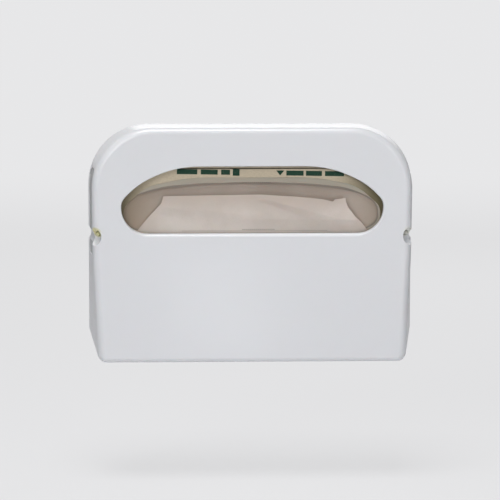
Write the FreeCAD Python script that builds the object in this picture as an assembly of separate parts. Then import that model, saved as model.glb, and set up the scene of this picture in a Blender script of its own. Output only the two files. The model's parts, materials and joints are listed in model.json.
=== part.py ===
import FreeCAD, Part
import math
import os

# A wall dispenser for half-folded toilet seat covers: a moulded rear housing,
# a front cover that swings down on two moulded pins, and a refill pack inside.
# X is to the right, Y goes into the wall and Z is up. Everything is built with
# the wall at y = 0 and the lowest point of the cover at z = 0, and is then
# moved down so that the origin is the centre of the wall screw pattern.

V = FreeCAD.Vector

# Whole size, in millimetres
WIDTH = 406.0
HEIGHT = 292.0
DEPTH = 83.0

# Outer form: a straight rim at the wall, then a body that narrows to the front
RIM_DEPTH = 16.0
BOTTOM_RISE = 27.0
FRONT_DROP = 2.3
TOP_TAPER = 4.7
WAIST_TAPER = 6.7
BOTTOM_TAPER = 13.2
WAIST_HEIGHT = 133.0
WAIST_BLEND = 12.0
REAR_CORNER = 74.0
FRONT_CORNER = 78.0
BOTTOM_CORNER = 10.0
SMALLEST_CORNER = 1.5
FRONT_ROUNDING = 8.5
ROUNDING_SECTIONS = 5

# Front cover
COVER_WALL = 2.8
SEAM_GAP = 0.4
WINDOW_SIDE_MARGIN = 41.2
WINDOW_TOP_MARGIN = 48.0
WINDOW_TALL = 83.0
WINDOW_TOP_RUN = 67.0
WINDOW_SHOULDER_RUN = 20.0
WINDOW_SHOULDER_DROP = 22.0
WINDOW_END_DROP = 43.0
WINDOW_BOTTOM_RADIUS = 32.0
WINDOW_END_REACH = 6.5
WINDOW_SHOULDER_REACH = 18.0
WINDOW_TOP_REACH = 30.0
SHOULDER_GROW_X = 0.5
SHOULDER_GROW_Z = 0.8
LIP_RADIUS = 5.0
LIP_WALL = 2.2
LIP_LENGTH = 8.0
LIP_SECTIONS = 4

# Finger dish at each front corner, with a groove that leads to it
LATCH_HEIGHT = 157.0
DISH_RADIUS = 11.0
DISH_OUTSET = 0.5
DISH_DEPTH_SHIFT = 1.0
DISH_WALL = 2.0
GROOVE_RADIUS = 12.0
GROOVE_SINK = 3.2
GROOVE_WALL = 1.6
GROOVE_CLEARANCE = 1.2

# Sunk grip panel on each side of the cover
PANEL_SINK = 1.0
PANEL_LOW = 134.0
PANEL_TOP_MARGIN = 52.0
PANEL_BACK_MARGIN = 7.0
PANEL_FRONT_MARGIN = 12.0
PANEL_CORNER = 9.0

# Rear housing
PLATE = 3.0
RIM_WALL = 2.6
FLANGE = 2.4
LAP_CLEARANCE = 0.5
LAP_WALL = 2.2
LAP_DEPTH = 7.0
LAP_LOW = 70.0
RIB_COUNT = 4
RIB_PITCH = 60.0
RIB_WALL = 2.0
RIB_END_SLOPE = 14.0

# Wall screw holes
MOUNT_HEIGHT = 150.0
SCREW_SPACING_X = 254.0
SCREW_SPACING_Z = 127.0
SCREW_HOLE_RADIUS = 2.75
SCREW_BOSS_RADIUS = 7.5
SCREW_BOSS_HEIGHT = 2.0

# Hinge at the two lower corners
HINGE_SETBACK = 12.0
PIN_RADIUS = 3.0
PIN_CLEARANCE = 0.08
PIN_ROOT_RADIUS = 4.5
EAR_RADIUS = 6.0
EAR_WALL = 4.0
EAR_INSET = 8.0
EAR_GAP = 0.4
EAR_ROOT_LOW = 28.5
EAR_ROOT_HIGH = 62.0
EAR_FLOOR_GAP = 0.6
PIN_OVERHANG = 1.0
SWING_CLEARANCE = 0.6
NOTCH_REACH = 8.0
NOTCH_SIDE = 0.7
REAR_EDGE_SETBACK = 3.0

# Latch arms of the housing, with a peg that shows in each finger dish
ARM_WALL = 2.5
ARM_ROOT_HEIGHT = 24.0
ARM_TIP_HEIGHT = 15.0
ARM_TIP_GAP = 1.8
PEG_RADIUS = 2.6
PEG_INSET = 7.1
PEG_RISE = 3.5
PEG_SHOW = 2.0
PEG_HOLE_RADIUS = 3.3
PEG_HOLE_RISE = 0.4
PEG_HOLE_LENGTH = 18.0
PEG_HOLE_SETBACK = 5.0

# Refill pack: a card carton, the folded covers in it and the first of them
CARTON_SIDE_ROOM = 19.0
CARTON_TOP_ROOM = 50.5
CARTON_FLOOR_RISE = 4.5
CARTON_DEPTH = 38.0
CARTON_FRONT_GAP = 9.2
CARD = 0.8
CARTON_CORNER = 1.2
STACK_CLEARANCE = 0.5
SHEET = 0.6
OVAL_SIDE_MARGIN = 2.8
OVAL_TOP_MARGIN = 14.5
OVAL_BOTTOM_MARGIN = 7.0
OVAL_LOW_REACH = 0.4
OVAL_END_RISE = 0.52
OVAL_END_REACH = 0.1
OVAL_SHOULDER_SHARE = 0.82
OVAL_SHOULDER_DROP = 0.14
OVAL_SHOULDER_REACH = 0.2
OVAL_TOP_SHARE = 0.5
OVAL_TOP_REACH = 0.3
TONGUE_SIDE_MARGIN = 3.0
TONGUE_CUT_MARGIN = 6.2
TONGUE_TOP_DROP = 16.0
TONGUE_ROOT_RUN = 18.0
TONGUE_TOP_RUN = 45.0
TONGUE_BULGE = 4.6
TONGUE_LIFT = 5.6
TONGUE_EDGE_SHARE = 0.35
FLAP_BEND = 2.0
FLAP_ROOT_LIFT = 1.0
FLAP_ROOT_DEPTH = 0.4

# Cradle of the housing that carries the carton
CRADLE_GAP = 1.0
CRADLE_WALL = 2.5
CRADLE_LIP_HEIGHT = 6.0
CRADLE_LIP_WALL = 2.3
CRADLE_WEB_HEIGHT = 78.0

# Places worked out from the sizes above
FRONT_Y = -DEPTH
SEAM_Y = -RIM_DEPTH
COVER_BACK_Y = SEAM_Y - SEAM_GAP
COVER_INNER_Y = FRONT_Y + COVER_WALL
CARTON_FRONT_Y = COVER_INNER_Y + CARTON_FRONT_GAP
CARTON_BACK_Y = CARTON_FRONT_Y + CARTON_DEPTH
CARTON_WIDTH = WIDTH - 2 * CARTON_SIDE_ROOM
CARTON_TOP = HEIGHT - CARTON_TOP_ROOM
CARTON_FLOOR = BOTTOM_RISE + CARTON_FLOOR_RISE
WINDOW_HALF = WIDTH / 2.0 - WINDOW_SIDE_MARGIN
WINDOW_TOP = HEIGHT - WINDOW_TOP_MARGIN
WINDOW_BOTTOM = WINDOW_TOP - WINDOW_TALL
WINDOW_TOP_HALF = WINDOW_HALF - WINDOW_TOP_RUN
WINDOW_SHOULDER_HALF = WINDOW_HALF - WINDOW_SHOULDER_RUN
PANEL_HIGH = HEIGHT - PANEL_TOP_MARGIN
CARTON_OVAL_HALF = WINDOW_HALF - OVAL_SIDE_MARGIN
CARTON_OVAL_TOP = WINDOW_TOP - OVAL_TOP_MARGIN
CARTON_OVAL_BOTTOM = WINDOW_BOTTOM - OVAL_BOTTOM_MARGIN
TONGUE_HALF = CARTON_OVAL_HALF - TONGUE_SIDE_MARGIN
TONGUE_CUT_TOP = CARTON_OVAL_TOP - TONGUE_CUT_MARGIN
TONGUE_CUT_BOTTOM = CARTON_OVAL_BOTTOM + TONGUE_CUT_MARGIN
TONGUE_TOP = TONGUE_CUT_TOP - TONGUE_TOP_DROP
TONGUE_ROOT_HALF = TONGUE_HALF - TONGUE_ROOT_RUN
TONGUE_TOP_HALF = TONGUE_HALF - TONGUE_TOP_RUN
REACH_OUT = 40.0
SMALL_LENGTH = 1.0
SMALL_ANGLE = 1e-6


def taper(y):
    """How far along the narrowing body a depth lies: 0 at the seam, 1 at the front."""
    return (SEAM_Y - y) / (DEPTH - RIM_DEPTH)


def rounded_wire(corners, y):
    """A closed outline at depth y from corners (x, z, reach), each rounded by an
    arc that starts and ends at its reach from the corner."""
    points = [V(x, y, z) for x, z, reach in corners]
    reaches = [reach for x, z, reach in corners]
    count = len(points)
    starts, middles, ends = [], [], []
    for i in range(count):
        corner = points[i]
        into = (corner - points[i - 1]).normalize()
        out = (points[(i + 1) % count] - corner).normalize()
        turn = into.getAngle(out)
        starts.append(corner - into * reaches[i])
        ends.append(corner + out * reaches[i])
        if turn < SMALL_ANGLE:
            middles.append(None)
            continue
        radius = reaches[i] / math.tan(turn / 2.0)
        inward = (out - into).normalize()
        middles.append(corner + inward * radius * (1.0 / math.cos(turn / 2.0) - 1.0))
    edges = []
    for i in range(count):
        if middles[i] is None:
            edges.append(Part.makeLine(starts[i], ends[i]))
        else:
            edges.append(Part.Arc(starts[i], middles[i], ends[i]).toShape())
        edges.append(Part.makeLine(ends[i], starts[(i + 1) % count]))
    return Part.Wire(edges)


def slab(corners, y_back, y_front):
    """A straight block of one rounded outline, from y_back forward to y_front."""
    face = Part.Face(rounded_wire(corners, y_back))
    return face.extrude(V(0, y_front - y_back, 0))


def side_profile(points, x_low, x_high):
    """A block of one (y, z) outline between two x positions."""
    wire = Part.makePolygon([V(x_low, y, z) for y, z in points + points[:1]])
    return Part.Face(wire).extrude(V(x_high - x_low, 0, 0))


def box(x_low, x_high, y_low, y_high, z_low, z_high):
    return Part.makeBox(x_high - x_low, y_high - y_low, z_high - z_low, V(x_low, y_low, z_low))


def both_sides(shape):
    """The shape and its mirror image on the other side of the middle."""
    return [shape, shape.mirror(V(0, 0, 0), V(1, 0, 0))]


def floor_height(y):
    """Height of the sloping underside at a depth. It runs out a little below the
    base, and the rounding of the front edge takes that up again."""
    return BOTTOM_RISE - taper(y) * (BOTTOM_RISE + FRONT_DROP)


def body_corners(y, inset):
    """Corners of the dispenser's outline at depth y, moved inward by inset."""
    along = taper(y)
    half = WIDTH / 2.0 - inset
    low_half = half - along * BOTTOM_TAPER
    waist_half = half - along * WAIST_TAPER
    top_half = half - along * TOP_TAPER
    low = floor_height(y) + inset
    top = HEIGHT - inset
    top_reach = REAR_CORNER + along * (FRONT_CORNER - REAR_CORNER) - inset
    low_reach = max(BOTTOM_CORNER - inset, SMALLEST_CORNER)
    return [
        (-low_half, low, low_reach),
        (low_half, low, low_reach),
        (waist_half, WAIST_HEIGHT, WAIST_BLEND),
        (top_half, top, top_reach),
        (-top_half, top, top_reach),
        (-waist_half, WAIST_HEIGHT, WAIST_BLEND),
    ]


def tapered_body(y_back, y_front, inset):
    """The narrowing body between two depths, inside the outer form by inset."""
    sections = [rounded_wire(body_corners(y, inset), y) for y in (y_back, y_front)]
    return Part.makeLoft(sections, True, True)


def rounded_body(y_back, y_front, inset, radius):
    """The narrowing body with a quarter round all along its front edge, made of
    straight bands between rounded outlines."""
    sections = [rounded_wire(body_corners(y_back, inset), y_back)]
    for i in range(ROUNDING_SECTIONS):
        angle = math.radians(90.0 * i / (ROUNDING_SECTIONS - 1))
        y = y_front + radius * (1.0 - math.sin(angle))
        sections.append(rounded_wire(body_corners(y, inset + radius * (1.0 - math.cos(angle))), y))
    return Part.makeLoft(sections, True, True)


def side_half(y, z, inset=0.0):
    """Half the outer width of the body at a depth and a height below the corners."""
    if z < WAIST_HEIGHT:
        share = BOTTOM_TAPER + (WAIST_TAPER - BOTTOM_TAPER) * z / WAIST_HEIGHT
    else:
        share = WAIST_TAPER + (TOP_TAPER - WAIST_TAPER) * (z - WAIST_HEIGHT) / (HEIGHT - WAIST_HEIGHT)
    return WIDTH / 2.0 - inset - taper(y) * share


def hinge_place():
    """Depth and height of the hinge axis, set by the ear that turns about it."""
    y = SEAM_Y - HINGE_SETBACK
    slope = (BOTTOM_RISE + FRONT_DROP) / (DEPTH - RIM_DEPTH)
    inside = floor_height(y) + COVER_WALL
    return y, inside + (EAR_RADIUS + EAR_FLOOR_GAP) * math.hypot(1.0, slope)


def ear_outer_x():
    return WIDTH / 2.0 - EAR_INSET


def window_corners(drop, grow):
    """Corners of the cover's window, with its lower edge lowered by drop and the
    whole outline moved outward by grow."""
    low = WINDOW_BOTTOM - drop - grow
    radius = WINDOW_BOTTOM_RADIUS + drop
    half = WINDOW_HALF + grow
    corners = [
        (half, low, radius),
        (half, WINDOW_TOP - WINDOW_END_DROP, WINDOW_END_REACH),
        (WINDOW_SHOULDER_HALF + grow * SHOULDER_GROW_X,
         WINDOW_TOP - WINDOW_SHOULDER_DROP + grow * SHOULDER_GROW_Z, WINDOW_SHOULDER_REACH),
        (WINDOW_TOP_HALF, WINDOW_TOP + grow, WINDOW_TOP_REACH),
    ]
    return corners + [(-x, z, reach) for x, z, reach in reversed(corners)]


def window_cutter(grow):
    """The window's opening with its lower edge flared forward in a quarter round.
    With grow it is the outside of the lip that lines the opening."""
    radius = LIP_RADIUS
    sections = []
    for i in range(LIP_SECTIONS):
        angle = math.radians(90.0 * i / (LIP_SECTIONS - 1))
        y = FRONT_Y + grow + radius * (1.0 - math.cos(angle))
        drop = radius * (1.0 - math.sin(angle))
        sections.append(rounded_wire(window_corners(drop, grow), y))
    flare = Part.makeLoft(sections, True, True)
    lip_end = FRONT_Y + LIP_LENGTH
    front = slab(window_corners(radius, grow), FRONT_Y - radius, FRONT_Y + grow)
    back_end = lip_end if grow else lip_end + REACH_OUT
    back = slab(window_corners(0.0, grow), FRONT_Y + grow + radius, back_end)
    return flare.fuse([front, back])


def dish_centre():
    y = FRONT_Y + DISH_DEPTH_SHIFT
    return V(side_half(y, LATCH_HEIGHT) + DISH_OUTSET, y, LATCH_HEIGHT)


def finger_hollow(extra_dish, extra_groove):
    """The round dish at the right front corner and the groove along the side that
    leads to it, both enlarged by a wall where it is asked for."""
    dish = Part.makeSphere(DISH_RADIUS + extra_dish, dish_centre())
    offset = GROOVE_RADIUS - GROOVE_SINK
    start = V(side_half(SEAM_Y, LATCH_HEIGHT) + offset, SEAM_Y, LATCH_HEIGHT)
    end = V(side_half(FRONT_Y, LATCH_HEIGHT) + offset, FRONT_Y, LATCH_HEIGHT)
    run = end - start
    groove = Part.makeCylinder(GROOVE_RADIUS + extra_groove, run.Length, start, run)
    return dish.fuse(groove)


def rim_groove(extra):
    """The same groove where it goes on across the rim of the housing."""
    x = side_half(SEAM_Y, LATCH_HEIGHT) + GROOVE_RADIUS - GROOVE_SINK
    return Part.makeCylinder(GROOVE_RADIUS + extra, RIM_DEPTH, V(x, SEAM_Y, LATCH_HEIGHT), V(0, 1, 0))


def peg_place():
    """x and z of the latch peg in the right dish."""
    return dish_centre().x - PEG_INSET, LATCH_HEIGHT + PEG_RISE


def dish_floor_y():
    """Depth of the dish's surface straight ahead of the peg."""
    return dish_centre().y + math.sqrt(DISH_RADIUS ** 2 - PEG_INSET ** 2 - PEG_RISE ** 2)


def grip_panel(outer):
    """The shallow sunk panels on both sides of the cover, as a solid to cut."""
    y_back = COVER_BACK_Y - PANEL_BACK_MARGIN
    y_front = FRONT_Y + PANEL_FRONT_MARGIN
    x_low = WIDTH / 2.0 - REACH_OUT
    block = box(x_low, WIDTH / 2.0 + REACH_OUT, y_front, y_back, PANEL_LOW, PANEL_HIGH)
    along_x = [e for e in block.Edges if abs(e.Vertexes[0].X - e.Vertexes[1].X) > SMALL_LENGTH]
    block = block.makeFillet(PANEL_CORNER, along_x)
    skin = outer.cut(tapered_body(COVER_BACK_Y, FRONT_Y, PANEL_SINK))
    return [piece.common(skin) for piece in both_sides(block)]


def front_cover():
    """The front moulding: a tapered shell with a window, finger dishes, sunk side
    panels and the two hinge pins."""
    outer = rounded_body(COVER_BACK_Y, FRONT_Y, 0.0, FRONT_ROUNDING)
    inner = rounded_body(SEAM_Y + SEAM_GAP, COVER_INNER_Y, COVER_WALL, FRONT_ROUNDING - COVER_WALL)
    shell = outer.cut(inner)

    bosses = []
    for hollow in both_sides(finger_hollow(DISH_WALL, GROOVE_WALL)):
        bosses.append(hollow.common(outer))
    lip = window_cutter(LIP_WALL).common(outer)
    shell = shell.fuse(bosses + [lip])

    shell = shell.cut(grip_panel(outer))
    shell = shell.cut(both_sides(finger_hollow(0.0, 0.0)))
    shell = shell.cut(window_cutter(0.0))
    shell = shell.cut(both_sides(peg_hole()))
    shell = trim_for_swing(shell)
    return shell.fuse(both_sides(hinge_pin())).removeSplitter()


def peg_hole():
    x, z = peg_place()
    y = FRONT_Y + PEG_HOLE_SETBACK
    return Part.makeCylinder(PEG_HOLE_RADIUS, PEG_HOLE_LENGTH, V(x, y, z + PEG_HOLE_RISE), V(0, 1, 0))


def trim_for_swing(shell):
    """Rounds the cover's side walls about the hinge axis, ends its underside just
    ahead of the axis, so that it clears the housing's floor and rim as it turns,
    and opens a notch for each ear of the housing."""
    y, z = hinge_place()
    swing_radius = HINGE_SETBACK - SWING_CLEARANCE
    x_far = WIDTH / 2.0 + REACH_OUT
    corner = box(-x_far, x_far, y, SEAM_Y + REACH_OUT, -REACH_OUT, z)
    keep = Part.makeCylinder(swing_radius, 2 * x_far, V(-x_far, y, z), V(1, 0, 0))
    ear_out = ear_outer_x() + NOTCH_SIDE
    ear_in = ear_outer_x() - EAR_WALL - NOTCH_SIDE
    notch = box(ear_in, ear_out, y - NOTCH_REACH, SEAM_Y, -REACH_OUT, z)
    rear_edge = box(-ear_out, ear_out, y - REAR_EDGE_SETBACK, SEAM_Y, -REACH_OUT, z)
    return shell.cut([corner.cut(keep), rear_edge] + both_sides(notch))


def hinge_pin():
    """A pivot pin with a thicker root, standing inward from the cover's side wall."""
    y, z = hinge_place()
    wall_x = side_half(y, z, COVER_WALL / 2.0)
    tip_x = ear_outer_x() - EAR_WALL - PIN_OVERHANG
    root_x = ear_outer_x() + EAR_GAP
    pin = Part.makeCylinder(PIN_RADIUS, wall_x - tip_x, V(tip_x, y, z), V(1, 0, 0))
    root = Part.makeCylinder(PIN_ROOT_RADIUS, wall_x - root_x, V(root_x, y, z), V(1, 0, 0))
    return pin.fuse(root)


def rim_ring(inset, thickness, y_back, y_front):
    """A straight ring that follows the rim's outline."""
    outside = slab(body_corners(SEAM_Y, inset), y_back, y_front)
    inside = slab(body_corners(SEAM_Y, inset + thickness), y_back, y_front)
    return outside.cut(inside)


def lap_wall():
    """The wall that stands up inside the cover's rear edge and locates it."""
    inset = COVER_WALL + LAP_CLEARANCE
    y_back = SEAM_Y + FLANGE
    y_front = SEAM_Y - LAP_DEPTH
    outside = tapered_body(y_back, y_front, inset)
    inside = tapered_body(y_back, y_front, inset + LAP_WALL)
    low_part = box(-WIDTH, WIDTH, y_front, y_back, -REACH_OUT, LAP_LOW)
    beside_groove = GROOVE_RADIUS + GROOVE_WALL + GROOVE_CLEARANCE
    groove_part = box(-WIDTH, WIDTH, y_front, SEAM_Y + FLANGE / 2, LATCH_HEIGHT - beside_groove,
                      LATCH_HEIGHT + beside_groove)
    return outside.cut(inside).cut([low_part, groove_part])


def ribs():
    """Upright ribs behind the carton, which hold it off the wall plate."""
    first = -RIB_PITCH * (RIB_COUNT - 1) / 2.0
    low = CARTON_FLOOR
    high = CARTON_TOP - RIB_END_SLOPE
    profile = [(-PLATE / 2, low), (CARTON_BACK_Y, low), (CARTON_BACK_Y, high - RIB_END_SLOPE),
               (-PLATE / 2, high)]
    shapes = []
    for i in range(RIB_COUNT):
        x = first + i * RIB_PITCH
        shapes.append(side_profile(profile, x - RIB_WALL / 2, x + RIB_WALL / 2))
    return shapes


def cradle():
    """The floor, front lip and side webs that carry the carton."""
    half = CARTON_WIDTH / 2.0 + CRADLE_GAP + CRADLE_WALL
    floor_low = CARTON_FLOOR - CRADLE_WALL
    lip_front = CARTON_FRONT_Y - CRADLE_GAP - CRADLE_LIP_WALL
    lip_top = CARTON_FLOOR + CRADLE_LIP_HEIGHT
    floor = box(-half, half, lip_front, -PLATE / 2, floor_low, CARTON_FLOOR)
    lip = box(-half, half, lip_front, lip_front + CRADLE_LIP_WALL, floor_low, lip_top)
    web_profile = [(-PLATE / 2, floor_low), (lip_front, floor_low), (lip_front, lip_top),
                   (-PLATE / 2, CARTON_FLOOR + CRADLE_WEB_HEIGHT)]
    webs = both_sides(side_profile(web_profile, half - CRADLE_WALL, half))
    return [floor, lip] + webs


def hinge_ear():
    """A flat ear with the hole that a hinge pin turns in."""
    y, z = hinge_place()
    x_high = ear_outer_x()
    x_low = x_high - EAR_WALL
    profile = [(-PLATE / 2, EAR_ROOT_LOW), (y, z - EAR_RADIUS), (y, z + EAR_RADIUS),
               (-PLATE / 2, EAR_ROOT_HIGH)]
    arm = side_profile(profile, x_low, x_high)
    eye = Part.makeCylinder(EAR_RADIUS, EAR_WALL, V(x_low, y, z), V(1, 0, 0))
    bore = Part.makeCylinder(PIN_RADIUS + PIN_CLEARANCE, EAR_WALL, V(x_low, y, z), V(1, 0, 0))
    return arm.fuse(eye).cut(bore)


def latch_arm():
    """A springy arm with a rounded peg that fills the hole in the finger dish."""
    x, z = peg_place()
    tip_y = dish_centre().y + DISH_RADIUS + DISH_WALL + ARM_TIP_GAP - PEG_RADIUS / 2
    profile = [(-PLATE / 2, z - ARM_ROOT_HEIGHT / 2), (tip_y, z - ARM_TIP_HEIGHT / 2),
               (tip_y, z + ARM_TIP_HEIGHT / 2), (-PLATE / 2, z + ARM_ROOT_HEIGHT / 2)]
    arm = side_profile(profile, x - ARM_WALL / 2, x + ARM_WALL / 2)
    peg_end = dish_floor_y() - PEG_SHOW + PEG_RADIUS
    peg_root = tip_y + ARM_WALL
    peg = Part.makeCylinder(PEG_RADIUS, peg_root - peg_end, V(x, peg_end, z), V(0, 1, 0))
    dome = Part.makeSphere(PEG_RADIUS, V(x, peg_end, z))
    return arm.fuse([peg, dome])


def rear_housing():
    """The rear moulding that is screwed to the wall and carries all the rest."""
    outline = slab(body_corners(SEAM_Y, 0.0), 0.0, SEAM_Y)
    plate = slab(body_corners(SEAM_Y, 0.0), 0.0, -PLATE)
    rim = rim_ring(0.0, RIM_WALL, -PLATE / 2, SEAM_Y)
    bosses = [groove.common(outline) for groove in both_sides(rim_groove(GROOVE_WALL))]
    flange = rim_ring(0.0, COVER_WALL + LAP_CLEARANCE + LAP_WALL, SEAM_Y + FLANGE, SEAM_Y)
    pieces = [rim, flange, lap_wall()] + bosses + ribs() + cradle()
    pieces += both_sides(hinge_ear()) + both_sides(latch_arm())
    holes = both_sides(rim_groove(0.0))
    for sx in (-1, 1):
        for sz in (-1, 1):
            place = V(sx * SCREW_SPACING_X / 2, 0, MOUNT_HEIGHT + sz * SCREW_SPACING_Z / 2)
            length = PLATE + SCREW_BOSS_HEIGHT
            pieces.append(Part.makeCylinder(SCREW_BOSS_RADIUS, length, place, V(0, -1, 0)))
            holes.append(Part.makeCylinder(SCREW_HOLE_RADIUS, length, place, V(0, -1, 0)))
    return plate.fuse(pieces).cut(holes).removeSplitter()


def oval_corners(half, low, high):
    """Corners of an oval cut whose shoulders fall away more gently than its ends."""
    tall = high - low
    corners = [
        (half, low, tall * OVAL_LOW_REACH),
        (half, low + tall * OVAL_END_RISE, tall * OVAL_END_REACH),
        (half * OVAL_SHOULDER_SHARE, high - tall * OVAL_SHOULDER_DROP, tall * OVAL_SHOULDER_REACH),
        (half * OVAL_TOP_SHARE, high, tall * OVAL_TOP_REACH),
    ]
    return corners + [(-x, z, reach) for x, z, reach in reversed(corners)]


def refill_carton():
    """The folded card box of the refill, with an oval opening in its front."""
    half = CARTON_WIDTH / 2.0
    shell = box(-half, half, CARTON_FRONT_Y, CARTON_BACK_Y, CARTON_FLOOR, CARTON_TOP)
    upright = [e for e in shell.Edges if abs(e.Vertexes[0].Z - e.Vertexes[1].Z) > SMALL_LENGTH]
    shell = shell.makeFillet(CARTON_CORNER, upright)
    hollow = box(-half + CARD, half - CARD, CARTON_FRONT_Y + CARD, CARTON_BACK_Y - CARD,
                 CARTON_FLOOR + CARD, CARTON_TOP - CARD)
    opening = slab(oval_corners(CARTON_OVAL_HALF, CARTON_OVAL_BOTTOM, CARTON_OVAL_TOP),
                   CARTON_FRONT_Y + 2 * CARD, CARTON_FRONT_Y - CARD)
    return shell.cut([hollow, opening])


def pack_box(y_low, y_high):
    """A block of folded covers that lies on the carton's floor, between two depths."""
    half = CARTON_WIDTH / 2.0 - CARD - STACK_CLEARANCE
    return box(-half, half, y_low, y_high, CARTON_FLOOR + CARD, CARTON_TOP - CARD - STACK_CLEARANCE)


def seat_cover_stack():
    """The covers that wait behind the first one, as one block."""
    return pack_box(CARTON_FRONT_Y + CARD + SHEET, CARTON_BACK_Y - CARD)


def tongue_section(z, half, lift):
    """A thin curved strip at height z, bulging forward by lift in its middle."""
    y_root = CARTON_FRONT_Y + CARD + SHEET
    edge_y = y_root - SHEET - lift * TONGUE_EDGE_SHARE
    middle_y = y_root - SHEET - lift
    front = Part.Arc(V(-half, edge_y, z), V(0, middle_y, z), V(half, edge_y, z)).toShape()
    edge_back = edge_y + SHEET
    middle_back = middle_y + SHEET
    back = Part.Arc(V(half, edge_back, z), V(0, middle_back, z), V(-half, edge_back, z)).toShape()
    right = Part.makeLine(V(half, edge_y, z), V(half, edge_back, z))
    left = Part.makeLine(V(-half, edge_back, z), V(-half, edge_y, z))
    return Part.Wire([front, right, back, left])


def first_seat_cover():
    """The first cover of the pack: its flat sheet behind the carton's opening, and
    the tongue that is cut in it and stands forward, ready to be pulled."""
    y_back = CARTON_FRONT_Y + CARD + SHEET
    sheet = pack_box(y_back - SHEET, y_back)
    cut = slab(oval_corners(TONGUE_HALF, TONGUE_CUT_BOTTOM, TONGUE_CUT_TOP), y_back, y_back - SHEET)
    low = TONGUE_CUT_BOTTOM
    middle = (low + TONGUE_TOP) / 2.0
    middle_half = (TONGUE_ROOT_HALF + TONGUE_TOP_HALF) / 2.0 + FLAP_BEND
    sections = [
        tongue_section(low - FLAP_BEND, TONGUE_ROOT_HALF, FLAP_ROOT_LIFT),
        tongue_section(middle, middle_half, TONGUE_BULGE),
        tongue_section(TONGUE_TOP, TONGUE_TOP_HALF, TONGUE_LIFT),
    ]
    tongue = Part.makeLoft(sections, True, False)
    hinge = box(-TONGUE_ROOT_HALF + SHEET, TONGUE_ROOT_HALF - SHEET,
                y_back - 2 * SHEET - FLAP_ROOT_DEPTH, y_back - SHEET / 2, low - FLAP_BEND, low)
    return sheet.cut(cut).fuse([hinge, tongue]).removeSplitter()


def main():
    os.makedirs("parts", exist_ok=True)
    pieces = {
        "rear_housing": rear_housing(),
        "front_cover": front_cover(),
        "refill_carton": refill_carton(),
        "seat_cover_stack": seat_cover_stack(),
        "first_seat_cover": first_seat_cover(),
    }
    for name, shape in pieces.items():
        if shape.ShapeType == "Compound" and len(shape.Solids) == 1:
            shape = shape.Solids[0]
        shape.translate(V(0, 0, -MOUNT_HEIGHT))
        around = shape.BoundBox
        print(name, len(shape.Solids), "solid", "valid" if shape.isValid() else "NOT VALID",
              "volume %.0f" % shape.Volume, "x %.1f to %.1f" % (around.XMin, around.XMax),
              "y %.1f to %.1f" % (around.YMin, around.YMax),
              "z %.1f to %.1f" % (around.ZMin, around.ZMax))
        shape.exportStep("parts/%s.step" % name)


main()
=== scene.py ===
"""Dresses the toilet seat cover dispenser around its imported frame.

Lengths are metres in the frame's own axes: X to the right, Y into the wall and Z up,
with the origin at the centre of the wall screw holes.
"""

from __future__ import annotations

import json
import logging
import math
from dataclasses import dataclass
from enum import Enum
from typing import Callable, Sequence

import bpy
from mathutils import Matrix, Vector, noise

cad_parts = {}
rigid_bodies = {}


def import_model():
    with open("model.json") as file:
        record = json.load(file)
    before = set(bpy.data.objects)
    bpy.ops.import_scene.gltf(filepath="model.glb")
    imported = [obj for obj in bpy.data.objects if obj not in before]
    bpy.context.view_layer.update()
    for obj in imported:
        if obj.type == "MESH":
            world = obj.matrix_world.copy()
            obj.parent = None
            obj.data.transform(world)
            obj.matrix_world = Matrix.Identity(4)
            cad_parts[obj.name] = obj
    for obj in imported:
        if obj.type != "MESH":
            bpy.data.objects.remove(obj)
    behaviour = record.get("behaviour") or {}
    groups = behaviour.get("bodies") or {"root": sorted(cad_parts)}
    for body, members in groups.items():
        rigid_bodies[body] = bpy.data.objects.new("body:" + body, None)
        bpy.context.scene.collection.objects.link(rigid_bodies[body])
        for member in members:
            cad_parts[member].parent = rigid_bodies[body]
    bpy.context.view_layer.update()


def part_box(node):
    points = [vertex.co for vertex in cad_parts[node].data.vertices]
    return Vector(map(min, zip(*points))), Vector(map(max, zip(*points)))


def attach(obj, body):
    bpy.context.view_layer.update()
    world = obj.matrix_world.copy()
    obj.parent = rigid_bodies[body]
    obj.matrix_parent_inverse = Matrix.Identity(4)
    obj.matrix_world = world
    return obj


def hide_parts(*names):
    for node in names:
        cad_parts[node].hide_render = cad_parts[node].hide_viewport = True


MM = 0.001
MERGE_GAP = 0.002 * MM
NORMAL_WEIGHT = 90

# Angles between faces, in degrees
FLAT_ANGLE = 0.3
ROUND_ANGLE = 30.0
SHARP_ANGLE = 35.0

# A wave texture of scale s repeats every tau / (20 s)
WAVE_FACTOR = 20.0

Colour = tuple[float, float, float, float]
Place = tuple[float, float, float]
Span = tuple[float, float]
Piece = bpy.types.Object
Socket = bpy.types.NodeSocket

log = logging.getLogger("dispenser")


class Body(Enum):
    """The rigid bodies that the pieces ride on."""

    HOUSING = "housing"
    COVER = "cover"


# Helpers for meshes


def select_only(piece: Piece) -> None:
    """Deselects everything, then selects one piece and makes it active.

    Args:
        piece: The object that the next operator acts on.
    """
    for other in bpy.context.view_layer.objects:
        other.select_set(False)
    piece.select_set(True)
    bpy.context.view_layer.objects.active = piece


def apply_modifier(piece: Piece, kind: str, **settings: object) -> None:
    """Adds a modifier, sets it and applies it to the mesh.

    Args:
        piece: The object that gets it.
        kind: Blender's name for the kind of modifier.
        **settings: Its properties and their values.
    """
    select_only(piece)
    modifier = piece.modifiers.new(kind.lower(), kind)
    for name, value in settings.items():
        setattr(modifier, name, value)
    bpy.ops.object.modifier_apply(modifier=modifier.name)


def edit_all(piece: Piece, *steps: Callable[[], object]) -> None:
    """Runs edit-mode operators on the whole mesh of a piece.

    Args:
        piece: The object to edit.
        *steps: Calls to make in edit mode, in order, with everything selected.
    """
    select_only(piece)
    bpy.ops.object.mode_set(mode="EDIT")
    bpy.ops.mesh.select_all(action="SELECT")
    for step in steps:
        step()
    bpy.ops.object.mode_set(mode="OBJECT")


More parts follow.
